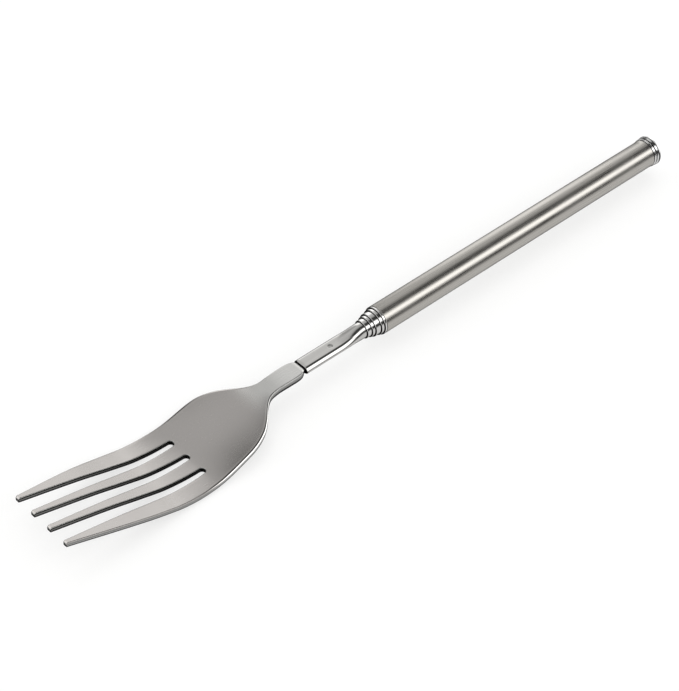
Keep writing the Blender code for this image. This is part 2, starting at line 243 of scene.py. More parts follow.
FLOOR_GLOW_COLOUR = (1.0, 1.0, 0.995, 1.0)
FLOOR_GLOW = 0.66
BACKDROP_RADIUS = 3000.0
BACKDROP_FOOT = -1500.0
BACKDROP_TOP = 6000.0
BACKDROP_LEVEL = 0.93
FILL_SIZE_M = 1.4
FILL_HEIGHT_M = 1.3
FILL_POWER = 6.0


def set_colour_handling():
    view = bpy.context.scene.view_settings
    view.view_transform = "Standard"
    view.look = "None"
    view.exposure = 0.0
    view.gamma = 1.0


# ================================================================ mesh helpers
def finish_mesh(name, bm, material, sharp_degrees=TUBE_SHARP_DEGREES):
    """Turn a bmesh in millimetres into a smooth-shaded object in the frame, in metres."""
    bmesh.ops.recalc_face_normals(bm, faces=bm.faces)
    mesh = bpy.data.meshes.new(name)
    bm.to_mesh(mesh)
    bm.free()
    for vert in mesh.vertices:
        vert.co *= MM
    for face in mesh.polygons:
        face.use_smooth = True
    mesh.set_sharp_from_angle(angle=math.radians(sharp_degrees))
    mesh.update()
    obj = bpy.data.objects.new(name, mesh)
    bpy.context.scene.collection.objects.link(obj)
    mesh.materials.append(material)
    return obj


def arc(centre_x, centre_radius, radius, start_degrees, end_degrees, steps):
    points = []
    for step in range(steps + 1):
        angle = math.radians(start_degrees + (end_degrees - start_degrees) * step / steps)
        points.append((centre_x + radius * math.cos(angle), centre_radius + radius * math.sin(angle)))
    return points


def bend_points(bends):
    """Points along an edge that turns from level to upright through bends of (end angle, radius, steps)."""
    points = [(0.0, 0.0)]
    turn = 0.0
    for end, radius, steps in bends:
        start = turn
        for step in range(1, steps + 1):
            following = start + (end - start) * step / steps
            across = math.sin(math.radians(following)) - math.sin(math.radians(turn))
            down = math.cos(math.radians(turn)) - math.cos(math.radians(following))
            points.append((points[-1][0] + radius * across, points[-1][1] + radius * down))
            turn = following
    return points


def turned(profile, closed=True):
    """Surface of revolution round the fork's axis; a radius of 0 becomes a pole.

    The outline is (x, radius) or (x, radius, shade), where shade is how much painted shade darkens the ring.
    """
    bm = bmesh.new()
    painted_shade_layer = bm.verts.layers.float.new("painted_shade")
    loops = []
    for x, radius, *painted_shade in profile:
        ring = []
        for side in range(SIDES if radius > 0.0 else 1):
            angle = math.tau * side / SIDES
            vert = bm.verts.new((x, radius * math.sin(angle), AXIS_Z + radius * math.cos(angle)))
            vert[painted_shade_layer] = painted_shade[0] if painted_shade else 0.0
            ring.append(vert)
        loops.append(ring)
    pairs = list(zip(loops, loops[1:]))
    if closed:
        pairs.append((loops[-1], loops[0]))
    for ring, following in pairs:
        join_rings(bm, ring, following)
    return bm


def join_rings(bm, ring, following):
    for side in range(SIDES):
        nearby = (side + 1) % SIDES
        if len(ring) == 1:
            bm.faces.new((ring[0], following[nearby], following[side]))
        elif len(following) == 1:
            bm.faces.new((ring[side], ring[nearby], following[0]))
        else:
            bm.faces.new((ring[side], ring[nearby], following[nearby], following[side]))


def section_radius(index):
    return HANDLE_RADIUS - index * RADIUS_STEP


def mouth_groove(start_x, outer):
    """Outline of the turned groove behind the handle's mouth, towards the mouth."""
    groove = start_x + GROOVE_START
    middle = groove + GROOVE_LENGTH / 2
    return [
        (groove + GROOVE_LENGTH + GROOVE_EDGE, outer),
        (groove + GROOVE_LENGTH, outer - GROOVE_EDGE_DROP),
        # painted shade on the groove's floor
        (middle + GROOVE_EDGE, outer - GROOVE_DEPTH, 1.0),
        (middle - GROOVE_EDGE, outer - GROOVE_DEPTH, 1.0),
        (groove, outer - GROOVE_EDGE_DROP),
        (groove - GROOVE_EDGE, outer),
    ]


def lip_profile(start_x, outer):
    """Outline of a rolled mouth at start_x, from its nose to the inner wall; shade is painted dark on the
    nose's inner part.
    """
    lip = outer - RADIUS_STEP + LIP_GAP
    nose = outer - lip
    shade_from = NOSE_SHADE_ANGLE + NOSE_SHADE_BLEND
    points = arc(start_x + nose, lip, nose, 90.0, NOSE_SHADE_ANGLE, LIP_STEPS)
    inwards = arc(start_x + nose, lip, nose, shade_from, 180.0, NOSE_SHADE_STEPS)
    # painted shade on the nose's inner part and inside the lip
    points += [(x, radius, 1.0) for x, radius in inwards]
    points += [
        (start_x + LIP_LENGTH, lip, 1.0),
        (start_x + LIP_LENGTH + LIP_SLOPE, outer - WALL),
    ]
    return points


# ================================================================ the tubes and the cap
def build_section_tube(index, material):
    outer = section_radius(index)
    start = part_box(f"section_{index}_tube")[0].x / MM
    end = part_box(f"section_{index}_tube")[1].x / MM
    profile = lip_profile(start, outer)
    profile += [
        (end, outer - WALL),
        (end, outer - EDGE_BREAK),
        (end - EDGE_BREAK, outer),
    ]
    return finish_mesh(f"section_{index}_sleeve", turned(profile), material)


def build_handle_tube(material):
    outer = HANDLE_RADIUS
    profile = mouth_groove(MOUTH_X, outer) + lip_profile(MOUTH_X, outer)
    flare = []
    for step in range(FLARE_STEPS + 1):
        part = step / FLARE_STEPS
        flare.append((HANDLE_END_X - FLARE_LENGTH * (1.0 - part), FLARE_RISE * part * part))
    profile += [(x, outer - WALL + rise) for x, rise in flare[:-1]]
    profile.append((HANDLE_END_X, outer - WALL))
    profile += [(HANDLE_END_X + x, radius, painted_shade) for x, radius, painted_shade in END_BEAD]
    profile += [(x, outer + rise) for x, rise in reversed(flare[:-FLARE_SKIPPED])]
    return finish_mesh("handle_sleeve", turned(profile), material)


def build_end_cap(material):
    plug = HANDLE_RADIUS - WALL - PLUG_GAP
    flange_back = HANDLE_END_X + FLANGE_GAP
    profile = [
        (PLUG_FACE_X, 0.0),
        (PLUG_FACE_X, plug - PLUG_CHAMFER),
        (PLUG_FACE_X + PLUG_CHAMFER, plug),
        (flange_back - PLUG_SHORT, plug),
    ]
    profile += [(flange_back + x, radius, painted_shade) for x, radius, painted_shade in CAP_BEADS]
    rounding = FLANGE_ROUNDING
    profile += arc(CAP_END_X - rounding, FLANGE_RADIUS - rounding, rounding, 90.0, 0.0, FLANGE_STEPS)
    profile += [(CAP_END_X - depth, radius) for depth, radius in CAP_FACE]
    return finish_mesh("polished_end_cap", turned(profile, closed=False), material)


# ================================================================ the neck tube
def pressed_quarter(inset):
    """Points from the top of the pressed section to its side, a quarter of the way round."""
    bends = bend_points(FLAT_BENDS)
    across, down = bends[-1]
    width = FLAT_WIDTH / 2 - inset
    height = FLAT_HEIGHT / 2 - inset
    stretch = height / down
    flat = width - across * stretch
    points = [(flat * step / FLAT_POINTS, height) for step in range(FLAT_POINTS)]
    return points + [(flat + x * stretch, height - drop * stretch) for x, drop in bends]


def neck_ring(x, inset, flatness):
    """Section of the neck tube's wall, inset from the outside: round at flatness 0 and pressed flat at 1."""
    radius = section_radius(SECTIONS) - inset
    pressed = pressed_quarter(inset)
    quarter = SIDES // 4
    ring = []
    for side in range(SIDES):
        angle = math.tau * side / SIDES
        round_y, round_z = radius * math.sin(angle), radius * math.cos(angle)
        from_top = side % (2 * quarter)
        flat_y, flat_z = pressed[min(from_top, 2 * quarter - from_top)]
        flat_y = math.copysign(flat_y, round_y)
        flat_z = math.copysign(flat_z, round_z)
        y = round_y + (flat_y - round_y) * flatness
        z = round_z + (flat_z - round_z) * flatness
        ring.append(Vector((x, y, z + AXIS_Z)))
    return ring


def stake_dent(point):
    """How far the round staking mark sinks the upper flat at a point."""
    reach = math.hypot(point.x - (NECK_MOUTH_X + STAKE_REACH), point.y) / STAKE_RADIUS
    if point.z < AXIS_Z or reach >= 1.0:
        return 0.0
    return STAKE_DEPTH * (1.0 - reach * reach)


def build_neck_tube(material):
    """The pressed and staked tube, from rings given as (distance from the mouth, flatness, inset)."""
    stations = [(MOUTH_BREAK * reach, 1.0, MOUTH_BREAK * inset) for reach, inset in MOUTH_RINGS]
    stations += [(x, 1.0, 0.0) for x in FLAT_RINGS]
    count = round(2 * STAKE_RADIUS * STAKE_MARGIN / STAKE_RING_SPACING)
    for step in range(count + 1):
        stations.append((STAKE_REACH + (step - count / 2) * STAKE_RING_SPACING, 1.0, 0.0))
    for step in range(TRANSITION_RINGS + 1):
        part = step / TRANSITION_RINGS
        flatness = 1.0 - math.sin(math.pi / 2 * part ** PRESS_EASE)
        stations.append((PRESS_START + (ROUND_START - PRESS_START) * part, flatness, 0.0))
    length = TAIL_X - NECK_MOUTH_X
    stations += [(ROUND_START + 1.0, 0.0, 0.0), (length - EDGE_BREAK, 0.0, 0.0), (length, 0.0, EDGE_BREAK)]
    rings = []
    for x, flatness, inset in stations:
        ring = neck_ring(NECK_MOUTH_X + x, inset, flatness)
        dents = [stake_dent(point) for point in ring]
        for point, dent in zip(ring, dents):
            point.z -= dent
        # Shade is painted on the outer ring at the mouth and in the staking mark's dent.
        at_mouth = float(x == 0.0)
        rings.append((ring, [max(at_mouth, STAKE_SHADE * float(dent > 0.0)) for dent in dents]))
    for x, flatness, _ in reversed(stations):
        if 0.0 < x < FLAT_RINGS[0] or abs(x - STAKE_REACH) <= STAKE_MARGIN * STAKE_RADIUS:
            continue
        rings.append((neck_ring(NECK_MOUTH_X + x, WALL, flatness), [0.0] * SIDES))
    bm = bmesh.new()
    layers = [bm.verts.layers.float.new("painted_shade")]
    loops = [[marked(bm.verts.new(point), layers, (painted_shade,)) for point, painted_shade in zip(*ring)] for ring in rings]
    for ring, following in zip(loops, loops[1:] + loops[:1]):
        join_rings(bm, ring, following)
    return finish_mesh("neck_sleeve", bm, material)


# ================================================================ the fork head
def curve_value(points, distance):
    """Smooth curve through (distance, value) points."""
    if distance <= points[0][0]:
        return points[0][1]
    if distance >= points[-1][0]:
        return points[-1][1]
    last = len(points) - 1
    index = max(i for i in range(last) if points[i][0] <= distance)
    (x0, y0), (x1, y1) = points[index], points[index + 1]
    span = x1 - x0
    part = (distance - x0) / span
    slopes = []
    for i in (index, index + 1):
        before = points[max(i - 1, 0)]
        after = points[min(i + 1, last)]
        slopes.append((after[1] - before[1]) / (after[0] - before[0]) * span)
    value = (2 * part ** 3 - 3 * part ** 2 + 1) * y0 + (part ** 3 - 2 * part ** 2 + part) * slopes[0]
    return value + (3 * part ** 2 - 2 * part ** 3) * y1 + (part ** 3 - part ** 2) * slopes[1]


def edge_inset(level, distance):
    """How far a level of the upper edge lies in from the head's outline."""
    facet = curve_value(FACET, distance)
    return curve_value(RIM_ROUNDING, distance) * (level["inset"] + level["facet_inset"] * facet)


def edge_drop(level, distance):
    facet = curve_value(FACET, distance)
    return curve_value(RIM_ROUNDING, distance) * (level["drop"] + level["facet_drop"] * facet)


def outline_half_width(distance, level):
    """Half width of the head's outline, moved square to itself into the metal by the edge's inset."""
    inset = edge_inset(level, distance)
    if distance < NECK_START:
        return TANG_HALF_WIDTH - inset
    ahead = curve_value(HALF_WIDTH, distance + SLOPE_REACH)
    behind = curve_value(HALF_WIDTH, distance - SLOPE_REACH)
    slope = min(abs(ahead - behind) / (2 * SLOPE_REACH), SLOPE_LIMIT)
    return curve_value(HALF_WIDTH, distance) - inset * math.sqrt(1.0 + slope * slope)


def slot_centre(slot, distance):
    if distance <= SLOT_END:
        narrowing = curve_value(HALF_WIDTH, distance) / curve_value(HALF_WIDTH, SLOT_END)
        return (slot - 1) * SLOT_PITCH * narrowing
    part = (distance - SLOT_END) / (HEAD_LENGTH - SLOT_END)
    return (slot - 1) * (SLOT_PITCH + (SLOT_TIP_PITCH - SLOT_PITCH) * part)


def slot_half_width(distance, level):
    centre = SLOT_END + SLOT_END_RADIUS
    radius = SLOT_END_RADIUS + level["inset"] * SLOT_ROUNDING
    if distance >= centre:
        part = (distance - centre) / (HEAD_LENGTH - centre)
        return radius + (SLOT_TIP_HALF_WIDTH - SLOT_END_RADIUS) * part
    return math.sqrt(max(radius ** 2 - (centre - distance) ** 2, 0.0))


def head_rows(level):
    """Cross rows of the head as (distance, shared, tip inset); a shared row has no slots yet."""
    inset = level["inset"] * SLOT_ROUNDING
    rows = [(-TANG_LENGTH + inset, True, 0.0)]
    rows += [(-TANG_LENGTH + step, True, 0.0) for step in TANG_ROWS]
    rows += [(-TANG_STEP, True, 0.0), (NECK_START - TANG_STEP, True, 0.0)]
    rows += [(NECK_START, True, 0.0), (NECK_START + NECK_END_BEVEL / 2, True, 0.0)]
    first = NECK_START + NECK_END_BEVEL
    last = SLOT_END - inset
    count = round((SLOT_END - first) / ROW_SPACING)
    for step in range(count + 1):
        rows.append((first + (last - first) * step / count, True, 0.0))
    centre = SLOT_END + SLOT_END_RADIUS
    for step in range(1, SLOT_ARC_STEPS + 1):
        angle = math.pi / 2 * step / SLOT_ARC_STEPS
        rows.append((centre - (SLOT_END_RADIUS + inset) * math.cos(angle), False, 0.0))
    tip_centre = HEAD_LENGTH - TIP_ROUNDING
    bevel = HEAD_LENGTH - TIP_BEVEL_LENGTH
    count = round((bevel - centre) / ROW_SPACING)
    for step in range(1, count + 1):
        rows.append((centre + (bevel - centre) * step / count, False, 0.0))
    for step in range(1, TIP_BEVEL_STEPS + 1):
        rows.append((bevel + (tip_centre - bevel) * step / TIP_BEVEL_STEPS, False, 0.0))
    corner = TIP_ROUNDING - inset
    for step in range(1, TIP_ARC_STEPS + 1):
        angle = math.pi / 2 * step / TIP_ARC_STEPS
        rows.append((tip_centre + corner * math.sin(angle), False, corner * (1.0 - math.cos(angle))))
    return rows


def head_grid(level):
    """Plan points of the head at one level of its edge: rows of four strips."""
    grid = []
    for distance, shared, tip_inset in head_rows(level):
        half_width = outline_half_width(distance, level)
        strips = []
        for tine in range(TINES):
            gap = 0.0 if shared else slot_half_width(distance, level)
            low = -half_width if tine == 0 else slot_centre(tine - 1, distance) + gap
            high = half_width if tine == TINES - 1 else slot_centre(tine, distance) - gap
            low += tip_inset
            high -= tip_inset
            width = high - low
            strips.append([
                (distance, low + width * column / STRIP_COLUMNS) for column in range(STRIP_COLUMNS + 1)
            ])
        grid.append((shared, strips))
    return grid


def tip_drop(distance):
    """How far the ground end of a tine falls below the line of its upper face."""
    part = max(0.0, (distance - HEAD_LENGTH + TIP_BEVEL_LENGTH) / TIP_BEVEL_LENGTH)
    return TIP_BEVEL_DROP * part


def neck_end_drop(distance):
    """The neck's upper face is bevelled where it ends at the tube's mouth."""
    return NECK_END_DROP * max(0.0, 1.0 - (distance - NECK_START) / NECK_END_BEVEL)


def on_tang(distance):
    return distance < NECK_START - TANG_STEP / 2


def face_height(distance, side):
    if on_tang(distance):
        return TANG_THICKNESS / 2
    half_width = curve_value(HALF_WIDTH, distance)
    rise = curve_value(DISH_DEPTH, distance) * (side / half_width) ** 2
    return curve_value(TOP_HEIGHT, distance) + rise - tip_drop(distance) - neck_end_drop(distance)


def head_thickness(distance):
    if on_tang(distance):
        return TANG_THICKNESS
    return curve_value(THICKNESS, distance) - tip_drop(distance) - neck_end_drop(distance)


def head_vert(bm, distance, side, below):
    """Vertex of the head, a given distance below the upper face."""
    return bm.verts.new((NECK_MOUTH_X - distance, side, AXIS_Z + face_height(distance, side) - below))


def grid_verts(bm, level, share, layers, marks):
    """Vertices of one whole face; neighbouring strips share their edge where there is no slot."""
    rows = []
    for shared, strips in head_grid(level):
        row = []
        for tine, strip in enumerate(strips):
            verts = []
            for column, (distance, side) in enumerate(strip):
                if column == 0 and tine > 0 and shared:
                    verts.append(row[-1][-1])
                    continue
                vert = head_vert(bm, distance, side, share * head_thickness(distance))
                # the last mark paints shade on the tang
                verts.append(marked(vert, layers, (*marks, float(on_tang(distance)))))
            row.append(verts)
        rows.append(row)
    return rows


def marked(vert, layers, marks):
    for layer, value in zip(layers, marks):
        vert[layer] = value
    return vert


def fill_grid(bm, rows, flip):
    for back, front in zip(rows, rows[1:]):
        for back_strip, front_strip in zip(back, front):
            for column in range(STRIP_COLUMNS):
                corners = [
                    back_strip[column], back_strip[column + 1],
                    front_strip[column + 1], front_strip[column],
                ]
                bm.faces.new(corners[::-1] if flip else corners)


def boundary_path(grid):
    """Indices (row, tine, column) round the outline of a face, and whether each lies on a slot."""
    flags = [shared for shared, _ in grid]
    first_open = flags.index(False)
    last_row = len(grid) - 1
    last = STRIP_COLUMNS
    path = [(row, 0, 0, False) for row in range(last_row + 1)]
    for tine in range(TINES):
        path += [(last_row, tine, column, False) for column in range(1, last)]
        if tine == TINES - 1:
            break
        path += [(row, tine, last, True) for row in range(last_row, first_open - 2, -1)]
        path += [(row, tine + 1, 0, True) for row in range(first_open, last_row + 1)]
    path += [(row, TINES - 1, last, False) for row in range(last_row, -1, -1)]
    for tine in reversed(range(TINES)):
        path += [(0, tine, column, False) for column in range(last - 1, 0 if tine == 0 else -1, -1)]
    return path


def rim_levels():
    """Levels down the head's edge; insets and drops are shares of the upper edge's rounding."""
    edge, facet = bend_points(RIM_BENDS), bend_points(FACET_BENDS)
    reach, facet_reach = edge[-1][0], facet[-1][0]
    levels = []
    for (across, down), (facet_across, facet_down) in zip(edge, facet):
        levels.append({
            "inset": (reach - across) / reach, "drop": down / reach,
            "facet_inset": (facet_reach - facet_across) / reach, "facet_drop": facet_down / reach,
            "wall": None, "under": None,
        })
    upright = {
        "inset": 0.0, "drop": edge[-1][1] / reach, "facet_inset": 0.0, "facet_drop": facet[-1][1] / reach,
    }
    for step in range(1, WALL_STEPS + 1):
        levels.append({**upright, "wall": step / WALL_STEPS, "under": 0.0})
    for step in range(1, UNDER_STEPS + 1):
        angle = math.pi / 2 * step / UNDER_STEPS
        levels.append({**upright, "wall": 1.0, "under": math.sin(angle), "inset": 1.0 - math.cos(angle)})
    return levels


def level_depth(level, distance, rounding_drop):
    """How far a level lies below the upper face, given how far the upper edge's rounding reaches down."""
    if level["wall"] is None:
        return rounding_drop
    thickness = head_thickness(distance)
    wall = thickness - UNDER_ROUNDING - rounding_drop
    return rounding_drop + wall * level["wall"] + UNDER_ROUNDING * level["under"]


# Marks on the head's vertices, which its material reads
HEAD_MARKS = ("edge_wear", "side_wall", "slot_wall", "wall_height", "painted_tang_shade")


def build_fork_head(material):
    bm = bmesh.new()
    layers = [bm.verts.layers.float.new(name) for name in HEAD_MARKS]
    levels = rim_levels()
    top = grid_verts(bm, levels[0], 0.0, layers, (0.0, 0.0, 0.0, 1.0))
    fill_grid(bm, top, False)
    under = grid_verts(bm, levels[-1], 1.0, layers, (0.0, 0.0, 0.0, 0.0))
    fill_grid(bm, under, True)
    path = boundary_path(head_grid(levels[0]))
    last_row = len(top) - 1
    loops = [[top[row][tine][column] for row, tine, column, _ in path]]
    for number, level in enumerate(levels[1:-1], 1):
        grid = head_grid(level)
        upper_edge = level["wall"] is None
        loop = []
        for row, tine, column, on_slot in path:
            distance, side = grid[row][1][tine][column]
            plain = on_slot or row in (0, last_row)
            drop = level["drop"] * SLOT_ROUNDING if plain else edge_drop(level, distance)
            below = level_depth(level, distance, drop)
            height = 1.0 - below / head_thickness(distance)
            slot_shaded = on_slot or row == last_row
            wear = EDGE_WEAR * float(upper_edge)
            if upper_edge and number >= FACET_LEVEL:
                wear += (1.0 - EDGE_WEAR) * (1.0 if plain else curve_value(FACET, distance))
            # The wall marks place painted shade and painted reflection bands; the slot walls and tip ends
            # take the slots' darker painted shade.
            marks = (wear, float(not upper_edge), float(slot_shaded), height, float(on_tang(distance)))
            loop.append(marked(head_vert(bm, distance, side, below), layers, marks))
        loops.append(loop)
    loops.append([under[row][tine][column] for row, tine, column, _ in path])
    for loop, following in zip(loops, loops[1:]):
        for index in range(len(loop)):
            nearby = (index + 1) % len(loop)
            bm.faces.new((loop[index], loop[nearby], following[nearby], following[index]))
    return finish_mesh("fork_head_satin", bm, material, HEAD_SHARP_DEGREES)


# ================================================================ materials
class Nodes:
    """Small helper for writing a node tree."""

    def __init__(self, tree):
        self.tree = tree

    def add(self, kind, **settings):
        node = self.tree.nodes.new(kind)
        for key, value in settings.items():
            setattr(node, key, value)
        return node

    def link(self, source, target):
        self.tree.links.new(source, target)

    def math(self, operation, first, second=None):
        node = self.add("ShaderNodeMath", operation=operation)
        for socket, value in zip(node.inputs, (first, second)):
            if value is None:
                continue
            if isinstance(value, (int, float)):
                socket.default_value = value
            else:
                self.link(value, socket)
        return node.outputs[0]

    def remap(self, value, low, high, to_low, to_high, smooth=False):
        node = self.add("ShaderNodeMapRange")
        if smooth:
            node.interpolation_type = "SMOOTHSTEP"
        self.link(value, node.inputs["Value"])
        for name, number in (("From Min", low), ("From Max", high), ("To Min", to_low), ("To Max", to_high)):
            node.inputs[name].default_value = number
        return node.outputs["Result"]

    def fade(self, value, low, high):
        """Soft step from 0 to 1 as value passes from low to high."""
        return self.remap(value, low, high, 0.0, 1.0, smooth=True)

    def swing(self, noise, low, high):
        """A noise's usual range spread out over low to high."""
        return self.remap(noise, NOISE_LOW, NOISE_HIGH, low, high)

    def noise(self, vector, scale, stretch, detail=2.0, roughness=0.5):
        """Noise with features 1/scale long in metres, stretched by the three factors."""
        mapping = self.add("ShaderNodeMapping")
        self.link(vector, mapping.inputs["Vector"])
        mapping.inputs["Scale"].default_value = tuple(scale * part for part in stretch)
        texture = self.add("ShaderNodeTexNoise")
        texture.inputs["Scale"].default_value = 1.0
        texture.inputs["Detail"].default_value = detail
        texture.inputs["Roughness"].default_value = roughness
        self.link(mapping.outputs["Vector"], texture.inputs["Vector"])
        return texture.outputs["Fac"]

    def mix_colour(self, factor, first, second):
        node = self.add("ShaderNodeMix", data_type="RGBA")
        for socket, value in ((node.inputs[0], factor), (node.inputs[6], first), (node.inputs[7], second)):
            if isinstance(value, tuple):
                socket.default_value = (*value, 1.0)
            else:
                self.link(value, socket)
        return node.outputs[2]

    def attribute(self, name):
        return self.add("ShaderNodeAttribute", attribute_name=name).outputs["Fac"]

    def separate(self, vector):
        node = self.add("ShaderNodeSeparateXYZ")
        self.link(vector, node.inputs[0])
        return node.outputs


def reach_points(origin, reaches):
    """Two places along the fork in metres, from millimetres measured from an origin."""
    return [(origin + reach) * MM for reach in reaches]


WHITE = (1.0, 1.0, 1.0)
NOISE_LOW, NOISE_HIGH = 0.3, 0.7

# Directions of grain: features are stretched where a factor is small
ALONG = (0.012, 1.0, 1.0)       # drawn out along the fork
ALONG_HEAD = (0.03, 1.0, 1.0)
ROUND = (1.0, 0.05, 0.05)       # turning marks round a tube
EVEN = (1.0, 1.0, 1.0)

# Finishes: light tone, dark tone, roughness, its spread, grain per metre, its direction, bump in micrometres
HANDLE_STEEL = ((0.575, 0.555, 0.52), (0.495, 0.475, 0.44), 0.275, 0.025, 5200.0, ALONG, 1.2)
HEAD_STEEL = ((0.545, 0.52, 0.50), (0.505, 0.485, 0.465), 0.25, 0.02, 7000.0, ALONG_HEAD, 0.3)
NECK_STEEL = ((0.68, 0.67, 0.65), (0.60, 0.59, 0.57), 0.14, 0.02, 4600.0, ALONG, 0.35)
SLEEVE_STEEL = ((0.80, 0.79, 0.775), (0.68, 0.67, 0.655), 0.10, 0.02, 3600.0, ALONG, 0.3)
CAP_STEEL = ((0.86, 0.86, 0.85), (0.78, 0.78, 0.77), 0.06, 0.015, 3000.0, ROUND, 0.2)
SHIM_BRASS = ((0.78, 0.60, 0.28), (0.62, 0.46, 0.19), 0.30, 0.05, 3200.0, ALONG, 0.8)

GRAIN_DETAIL = 3.0
GRAIN_ROUGHNESS = 0.6
MOTTLE_SCALE = 90.0
MOTTLE = 0.25                   # share of the slow mottling in the tone
SCRATCH_SCALE = 0.7             # against the grain's
SCRATCH_STRETCH = 0.6
SCRATCH_EDGES = (0.66, 0.74)
SCRATCH_DEPTH = 0.6
# Painted shade in grooves, gaps, rolled noses and dents: its colour, its dulled reflection tint and its
# added roughness
PAINTED_SHADE_COLOUR = (0.012, 0.012, 0.012)
PAINTED_SHADE_SPECULAR = (0.1, 0.1, 0.1)
PAINTED_SHADE_ROUGHNESS = 0.3

# Where finishes change, in millimetres along the fork from the mouth or end named
LIP_POLISH = (0.72, 0.62)       # from the handle's mouth
END_POLISH = (-0.94, -0.90)     # from the handle's rear end
CAP_FACE_START = (-0.13, -0.11)         # from the cap's end face
HEAD_NECK_REACH = (-19.5, -12.0)        # from the neck tube's mouth
TINE_REACH = (-45.0, -78.0)             # from the neck tube's mouth

POLISH_COLOUR = (0.80, 0.79, 0.775)
POLISH_GLOSS = 0.4              # its roughness against the satin's
CAP_RING_SCALE = 9000.0
CAP_RING_TONES = ((0.66, 0.655, 0.645), (0.88, 0.88, 0.87))
CAP_SATIN = (0.34, 0.46)
HEAD_NECK_COLOUR = (0.69, 0.685, 0.665)
FACET_COLOUR = (0.84, 0.83, 0.81)
FACET_SHARE = 0.8
EDGE_GLOSS = 0.16
# the slot walls' reflection is dulled as part of their painted shade
SLOT_SPECULAR = (0.35, 0.35, 0.35)
SLOT_ROUGHNESS = 0.16
# near-black painted shade on the tang inside the neck tube's mouth
TANG_SHADE_COLOUR = (0.02, 0.02, 0.02)
WALL_SHADE_WARMTH = 0.97             # blue against the other two in the painted wall shade's greys

# Painted shade and painted reflection bands up the head's walls, as tones against the height on the wall, 0
# at its foot: (height, level)
SIDE_WALL_SHADE = (
    (0.0, 0.02), (0.26, 0.03), (0.35, 0.42), (0.45, 0.42),
    (0.58, 0.29), (0.70, 0.30), (0.85, 0.5), (1.0, 0.5),
)
NECK_WALL_SHADE = (
    (0.0, 0.008), (0.33, 0.01), (0.41, 0.20), (0.52, 0.34),
    (0.72, 0.36), (0.80, 0.30), (0.90, 0.42), (1.0, 0.5),
)
SLOT_WALL_SHADE = (
    (0.0, 0.006), (0.34, 0.005), (0.46, 0.035), (0.58, 0.035),
    (0.70, 0.005), (0.90, 0.005), (0.96, 0.3), (1.0, 0.5),
)
TINE_WALL_SHADE = (
    (0.0, 0.015), (0.34, 0.02), (0.43, 0.24), (0.62, 0.24),
    (0.70, 0.012), (0.86, 0.012), (0.94, 0.4), (1.0, 0.6),
)


def metal(name, finish, with_painted_shade=True):
    """Steel or brass with fine grain, hairline scratches and slow variation in colour and gloss.

    Returns the material with its helper, its shader, and its place, colour and roughness sockets, for what
    is added to them.
    """
    light, dark, roughness, spread, grain, direction, bump_um = finish
    material = bpy.data.materials.new(name)
    material.use_nodes = True
    nodes = Nodes(material.node_tree)
    shader = material.node_tree.nodes["Principled BSDF"]
    shader.inputs["Metallic"].default_value = 1.0
    place = nodes.add("ShaderNodeTexCoord").outputs["Object"]
    fine = nodes.noise(place, grain, direction, GRAIN_DETAIL, GRAIN_ROUGHNESS)
    slow = nodes.noise(place, MOTTLE_SCALE, EVEN)
    drawn_out = [part * SCRATCH_STRETCH if part < 1.0 else part for part in direction]
    scratches = nodes.fade(nodes.noise(place, grain * SCRATCH_SCALE, drawn_out, detail=1.0), *SCRATCH_EDGES)
    shade = nodes.math("ADD", nodes.swing(fine, 0.0, 1.0 - MOTTLE), nodes.swing(slow, 0.0, MOTTLE))
    base = nodes.mix_colour(shade, dark, light)
    gloss = nodes.swing(fine, roughness - spread, roughness + spread)
    rough = nodes.math("ADD", gloss, nodes.swing(slow, -spread, spread))
    rough = nodes.math("ADD", rough, nodes.math("MULTIPLY", scratches, spread))
    bump = nodes.add("ShaderNodeBump")
    bump.inputs["Strength"].default_value = 1.0
    bump.inputs["Distance"].default_value = bump_um * 1e-6
    height = nodes.math("SUBTRACT", fine, nodes.math("MULTIPLY", scratches, SCRATCH_DEPTH))
    nodes.link(height, bump.inputs["Height"])
    nodes.link(bump.outputs["Normal"], shader.inputs["Normal"])
    # Shade is painted here: the mesh's mark darkens the colour and dulls the reflection in grooves, gaps,
    # rolled noses and dents.
    if with_painted_shade:
        painted_shade = nodes.attribute("painted_shade")
        base = nodes.mix_colour(painted_shade, base, PAINTED_SHADE_COLOUR)
        nodes.link(nodes.mix_colour(painted_shade, WHITE, PAINTED_SHADE_SPECULAR), shader.inputs["Specular Tint"])
        rough = nodes.math("ADD", rough, nodes.math("MULTIPLY", painted_shade, PAINTED_SHADE_ROUGHNESS))
    nodes.link(base, shader.inputs["Base Color"])
    nodes.link(rough, shader.inputs["Roughness"])
    return material, nodes, shader, place, base, rough


def satin_handle():
    """Lengthwise satin grain, polished bright over the rolled mouth and the rolled end."""
    material, nodes, shader, place, base, rough = metal("satin_handle_steel", HANDLE_STEEL)
    x = nodes.separate(place)["X"]
    lip = nodes.fade(x, *reach_points(MOUTH_X, LIP_POLISH))
    end = nodes.fade(x, *reach_points(HANDLE_END_X, END_POLISH))
    # No polish where shade is painted.
    unshaded = nodes.math("SUBTRACT", 1.0, nodes.attribute("painted_shade"))
    polish = nodes.math("MULTIPLY", nodes.math("MAXIMUM", lip, end), unshaded)
    nodes.link(nodes.mix_colour(polish, base, POLISH_COLOUR), shader.inputs["Base Color"])
    rough = nodes.math("MULTIPLY", rough, nodes.remap(polish, 0.0, 1.0, 1.0, POLISH_GLOSS))
    nodes.link(rough, shader.inputs["Roughness"])
    return material


